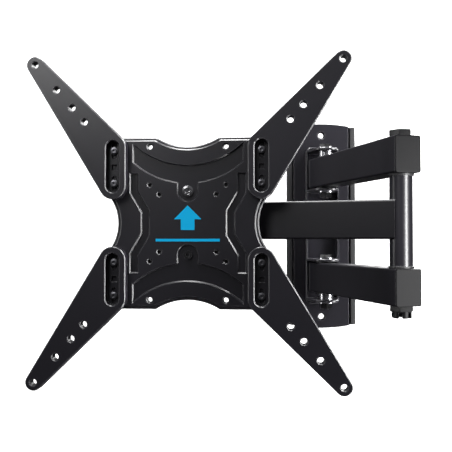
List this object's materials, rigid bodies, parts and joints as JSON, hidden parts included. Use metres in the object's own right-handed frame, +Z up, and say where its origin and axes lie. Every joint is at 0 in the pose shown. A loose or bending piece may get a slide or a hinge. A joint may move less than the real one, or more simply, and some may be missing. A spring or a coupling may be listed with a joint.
{
  "type": "full motion tv wall mount",
  "caption": "Black steel full motion wall mount for a flat screen: arched wall plate, twin short arms, single forearm, and a swivel and tilt screen plate with extension arms.",
  "frame": {"origin": "centre of the two wall screw holes, on the wall plane that the plate's back rests on", "axes": "+Z up, +Y into the wall, -Y out into the room, +X to the viewer's right when facing the wall"},
  "size_m": [0.5041, 0.3046, 0.436],
  "materials": {
    "black_coat": "fine-textured black powder coat",
    "black_plastic": "matte moulded black plastic",
    "grey_plastic": "matte moulded dark grey plastic",
    "zinc": "bright zinc plate",
    "screw_steel": "dark zinc plate",
    "dark_steel": "black oxide",
    "blue_print": "flat blue print"
  },
  "bodies": {
    "wall": {"wall_plate": "black_coat", "side_rail_left": "black_plastic", "side_rail_right": "black_plastic", "pivot_bracket": "black_coat", "upper_pivot_bolt": "dark_steel", "upper_pivot_nut": "dark_steel", "lower_pivot_bolt": "dark_steel", "lower_pivot_nut": "dark_steel", "pivot_washers": "zinc", "pivot_spacers": "zinc"},
    "short_arms": {"upper_arm": "black_coat", "lower_arm": "black_coat", "upper_arm_bushes": "black_plastic", "lower_arm_bushes": "black_plastic", "upper_arm_front_cap": "grey_plastic", "lower_arm_front_cap": "grey_plastic", "upper_arm_rear_cap": "black_plastic", "lower_arm_rear_cap": "black_plastic", "elbow_bolt": "dark_steel", "elbow_nut": "dark_steel"},
    "forearm": {"forearm_tube": "black_coat", "elbow_barrel": "black_coat", "elbow_bushes": "black_plastic", "swivel_barrel": "black_coat", "swivel_bushes": "black_plastic"},
    "swivel": {"swivel_yoke": "black_coat", "swivel_bolt": "dark_steel", "swivel_nut": "dark_steel"},
    "tilt": {"tilt_plate": "black_coat", "tilt_bolt": "dark_steel", "tilt_nut": "dark_steel", "tilt_washers": "black_plastic", "level_pivot_screw": "dark_steel", "level_pivot_nut": "dark_steel"},
    "screen": {"screen_plate": "black_coat", "level_lock_screw": "dark_steel", "level_lock_nut": "dark_steel", "up_mark": "blue_print", "clamp_screws_left": "screw_steel", "clamp_screws_right": "screw_steel", "clamp_nuts_left": "zinc", "clamp_nuts_right": "zinc"},
    "ext_upper_left": {"arm_upper_left": "black_coat"},
    "ext_upper_right": {"arm_upper_right": "black_coat"},
    "ext_lower_left": {"arm_lower_left": "black_coat"},
    "ext_lower_right": {"arm_lower_right": "black_coat"}
  },
  "joints": [
    {"name": "wall_swing", "type": "hinge", "parent": "wall", "child": "short_arms", "pos_m": [0, -0.052, 0], "axis": [0, 0, 1], "range_deg": [-40, 50]},
    {"name": "elbow_swing", "type": "hinge", "parent": "short_arms", "child": "forearm", "pos_m": [0.05733, -0.28196, 0], "axis": [0, 0, 1], "range_deg": [-30, 90]},
    {"name": "head_swivel", "type": "hinge", "parent": "forearm", "child": "swivel", "pos_m": [-0.20628, -0.18182, 0], "axis": [0, 0, 1], "range_deg": [-60, 5]},
    {"name": "head_tilt", "type": "hinge", "parent": "swivel", "child": "tilt", "pos_m": [-0.21136, -0.22854, -0.002], "axis": [0.9942, -0.108, 0], "range_deg": [-5, 15]},
    {"name": "head_level", "type": "hinge", "parent": "tilt", "child": "screen", "pos_m": [-0.21352, -0.24843, 0.0395], "axis": [-0.108, -0.9942, 0], "range_deg": [-3, 3]},
    {"name": "ext_upper_left_slide", "type": "slide", "parent": "screen", "child": "ext_upper_left", "axis": [0, 0, 1], "range_m": [-0.007, 0.007]},
    {"name": "ext_upper_right_slide", "type": "slide", "parent": "screen", "child": "ext_upper_right", "axis": [0, 0, 1], "range_m": [-0.007, 0.007]},
    {"name": "ext_lower_left_slide", "type": "slide", "parent": "screen", "child": "ext_lower_left", "axis": [0, 0, -1], "range_m": [-0.007, 0.007]},
    {"name": "ext_lower_right_slide", "type": "slide", "parent": "screen", "child": "ext_lower_right", "axis": [0, 0, -1], "range_m": [-0.007, 0.007]}
  ]
}
